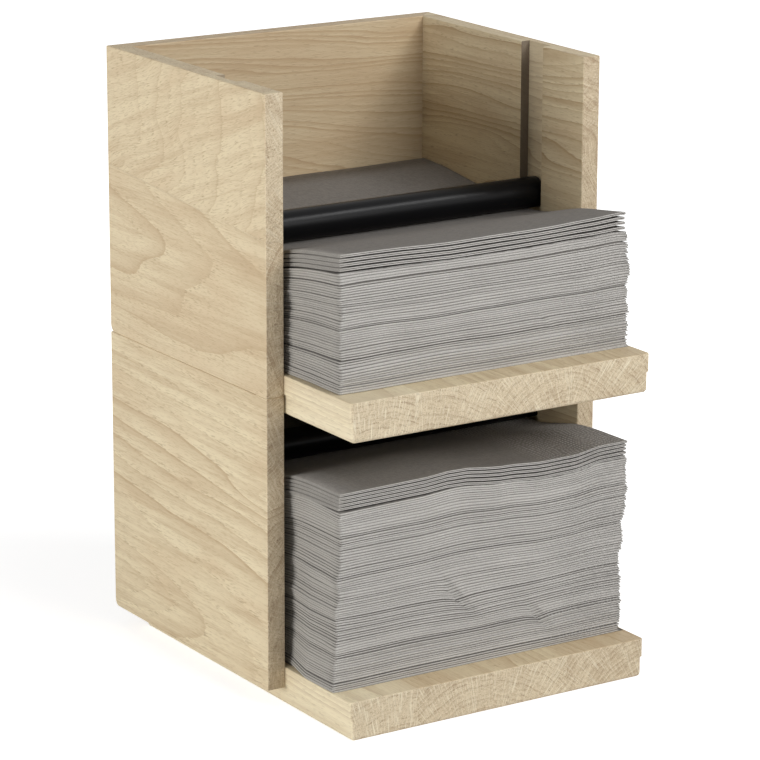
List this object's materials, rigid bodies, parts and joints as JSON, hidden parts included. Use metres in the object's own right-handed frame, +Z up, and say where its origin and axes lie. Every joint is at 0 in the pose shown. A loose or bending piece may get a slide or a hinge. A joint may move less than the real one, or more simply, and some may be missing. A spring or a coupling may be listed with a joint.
{
  "type": "napkin holder",
  "caption": "Stackable oak napkin holder: open units with an overhanging board, folded napkins and a sliding weight bar.",
  "frame": {"origin": "middle of the underside, on the surface that the holder stands on, in the middle of its width and depth", "axes": "+Z up, -Y towards the open front, +X to the right seen from the front"},
  "size_m": [0.195, 0.215, 0.3075],
  "materials": {
    "oak": "matt oiled oak, end grain at the front edges",
    "joint_wood": "raw, glued in and hidden",
    "bar_black": "satin black",
    "napkin_paper": "soft grey tissue with fine embossing"
  },
  "bodies": {
    "lower_unit": {"lower_left_panel": "oak", "lower_right_panel": "oak", "lower_rear_panel": "oak", "lower_board_stave_1": "oak", "lower_board_stave_2": "oak", "lower_board_stave_3": "oak", "lower_board_stave_4": "oak", "lower_side_dowels": "joint_wood", "lower_rear_dowels": "joint_wood", "lower_left_corner_spline": "joint_wood", "lower_right_corner_spline": "joint_wood", "lower_napkin_stack": "napkin_paper", "lower_loose_napkins": "napkin_paper"},
    "lower_bar": {"lower_weight_bar": "bar_black"},
    "upper_unit": {"upper_left_panel": "oak", "upper_right_panel": "oak", "upper_rear_panel": "oak", "upper_board_stave_1": "oak", "upper_board_stave_2": "oak", "upper_board_stave_3": "oak", "upper_board_stave_4": "oak", "upper_side_dowels": "joint_wood", "upper_rear_dowels": "joint_wood", "upper_left_corner_spline": "joint_wood", "upper_right_corner_spline": "joint_wood", "upper_napkin_stack": "napkin_paper", "upper_loose_napkins": "napkin_paper"},
    "upper_bar": {"upper_weight_bar": "bar_black"}
  },
  "joints": [
    {"name": "upper_unit_lift", "type": "slide", "parent": "lower_unit", "child": "upper_unit", "axis": [0, 0, 1], "range_m": [0, 0.06]},
    {"name": "lower_bar_slide", "type": "slide", "parent": "lower_unit", "child": "lower_bar", "axis": [0, 0, 1], "range_m": [0, 0.021]},
    {"name": "upper_bar_slide", "type": "slide", "parent": "upper_unit", "child": "upper_bar", "axis": [0, 0, 1], "range_m": [0, 0.095]}
  ]
}
